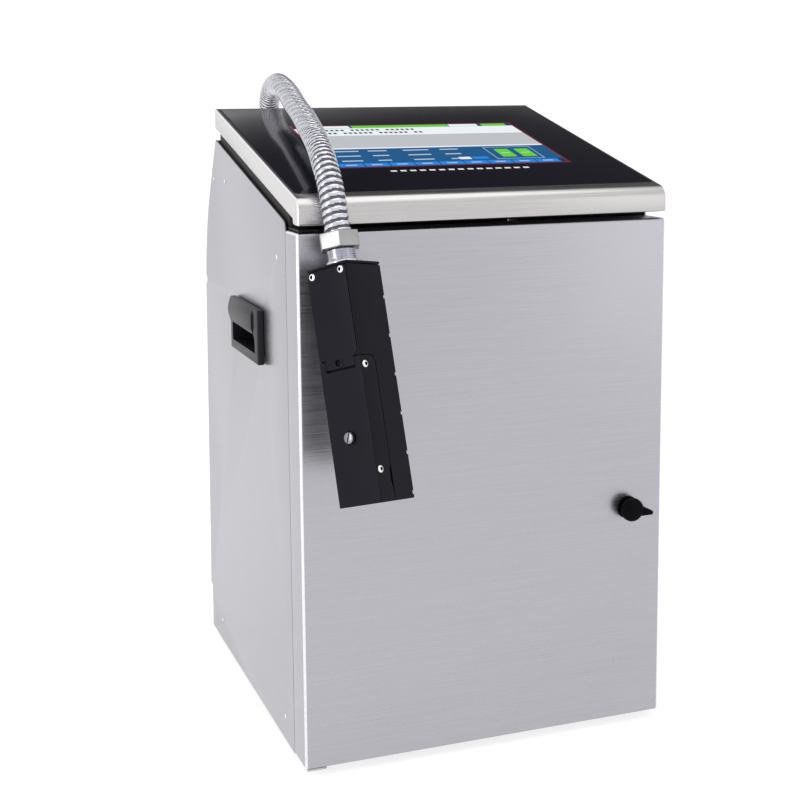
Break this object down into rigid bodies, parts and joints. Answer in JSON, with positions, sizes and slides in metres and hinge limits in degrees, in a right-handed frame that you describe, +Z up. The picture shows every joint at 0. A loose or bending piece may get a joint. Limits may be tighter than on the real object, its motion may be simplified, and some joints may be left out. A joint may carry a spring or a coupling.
{
  "type": "date code inkjet printer",
  "caption": "Free-standing continuous inkjet date coder: stainless cabinet with a sloped touch screen, a hinged front door and a printhead on a steel conduit.",
  "frame": {"origin": "centre of the object's footprint on the floor, measured without the free conduit", "axes": "+Z up, the door faces -Y, and +X is to the right of someone facing the door"},
  "size_m": [0.348, 0.7437, 0.5803],
  "materials": {
    "stainless": "brushed, satin",
    "lid_stainless": "brushed, bright",
    "black_plastic": "satin moulded",
    "screen_glass": "black-printed back, polished",
    "rubber": "matte",
    "head_black": "black anodised, satin",
    "nickel": "nickel plated",
    "conduit": "bright interlocked strip",
    "tank_plastic": "natural polyethylene",
    "circuit_board": "solder mask",
    "zinc": "zinc plated or cast"
  },
  "bodies": {
    "root": {"left_side_panel": "stainless", "right_side_panel": "stainless", "front_frame": "stainless", "base_pan": "stainless", "rear_panel": "stainless", "rear_top_cover": "stainless", "component_shelf": "stainless", "top_hinge_bracket": "stainless", "bottom_hinge_bracket": "stainless", "lid_rim": "lid_stainless", "left_handle": "black_plastic", "right_handle": "black_plastic", "fan_housing": "black_plastic", "power_module": "black_plastic", "screen_glass": "screen_glass", "lid_collar": "rubber", "foot_front_left": "rubber", "foot_front_right": "rubber", "foot_rear_left": "rubber", "foot_rear_right": "rubber", "coil_tie": "rubber", "io_sockets": "nickel", "rear_gland": "nickel", "umbilical_tail": "conduit", "umbilical_rise": "conduit", "umbilical_coil": "conduit", "ink_tank": "tank_plastic", "makeup_tank": "tank_plastic", "main_filter": "tank_plastic", "filter_hose": "tank_plastic", "valve_hose": "tank_plastic", "controller_board": "circuit_board", "display_module": "zinc", "ink_pump": "zinc", "valve_block": "zinc", "power_supply": "zinc"},
    "door": {"door_pan": "stainless", "door_liner": "stainless", "door_seal": "rubber", "latch_body": "zinc"},
    "latch": {"latch_knob": "black_plastic", "latch_cam": "zinc"},
    "printhead": {"head_spine": "head_black", "head_upper_cover": "head_black", "head_end_cap": "head_black", "gland_neck": "nickel", "gland_nut": "nickel", "drop_generator": "zinc", "charge_electrode": "black_plastic", "left_deflection_plate": "nickel", "right_deflection_plate": "nickel", "gutter_block": "zinc", "umbilical_hanging": "conduit"},
    "nozzle_cover": {"head_lower_cover": "head_black"},
    "thumb_screw": {"cover_thumb_screw": "nickel"},
    "ink_cap": {"ink_tank_cap": "black_plastic"},
    "makeup_cap": {"makeup_tank_cap": "rubber"},
    "fan": {"fan_rotor": "black_plastic"},
    "switch": {"power_switch": "black_plastic"}
  },
  "joints": [
    {"name": "door_hinge", "type": "hinge", "parent": "root", "child": "door", "pos_m": [-0.159, -0.1166, 0.23], "axis": [0, 0, -1], "range_deg": [0, 105]},
    {"name": "latch_turn", "type": "hinge", "parent": "door", "child": "latch", "pos_m": [0.131, -0.1226, 0.2], "axis": [0, 1, 0], "range_deg": [0, 90]},
    {"name": "printhead_swing", "type": "hinge", "parent": "root", "child": "printhead", "pos_m": [-0.159, -0.1166, 0.23], "axis": [0, 0, -1], "range_deg": [0, 105]},
    {"name": "nozzle_cover_slide", "type": "slide", "parent": "printhead", "child": "nozzle_cover", "axis": [-0.8418, -0.5216, 0.1393], "range_m": [0, 0.06]},
    {"name": "thumb_screw_turn", "type": "hinge", "parent": "nozzle_cover", "child": "thumb_screw", "pos_m": [-0.14973, -0.20779, 0.30752], "axis": [-0.8418, -0.5216, 0.1393], "continuous": true},
    {"name": "ink_cap_turn", "type": "hinge", "parent": "root", "child": "ink_cap", "pos_m": [-0.084, -0.0126, 0.163], "axis": [0, 0, 1], "range_deg": [0, 450]},
    {"name": "makeup_cap_turn", "type": "hinge", "parent": "root", "child": "makeup_cap", "pos_m": [0.018, -0.0126, 0.163], "axis": [0, 0, 1], "range_deg": [0, 450]},
    {"name": "fan_spin", "type": "hinge", "parent": "root", "child": "fan", "pos_m": [0.097, 0.1984, 0.248], "axis": [0, 1, 0], "continuous": true},
    {"name": "power_switch_rock", "type": "hinge", "parent": "root", "child": "switch", "pos_m": [-0.1115, 0.2108, 0.1085], "axis": [1, 0, 0], "range_deg": [0, 18]}
  ],
  "couplings": [
    {"joint": "printhead_swing", "follows": "door_hinge", "ratio": 1}
  ]
}
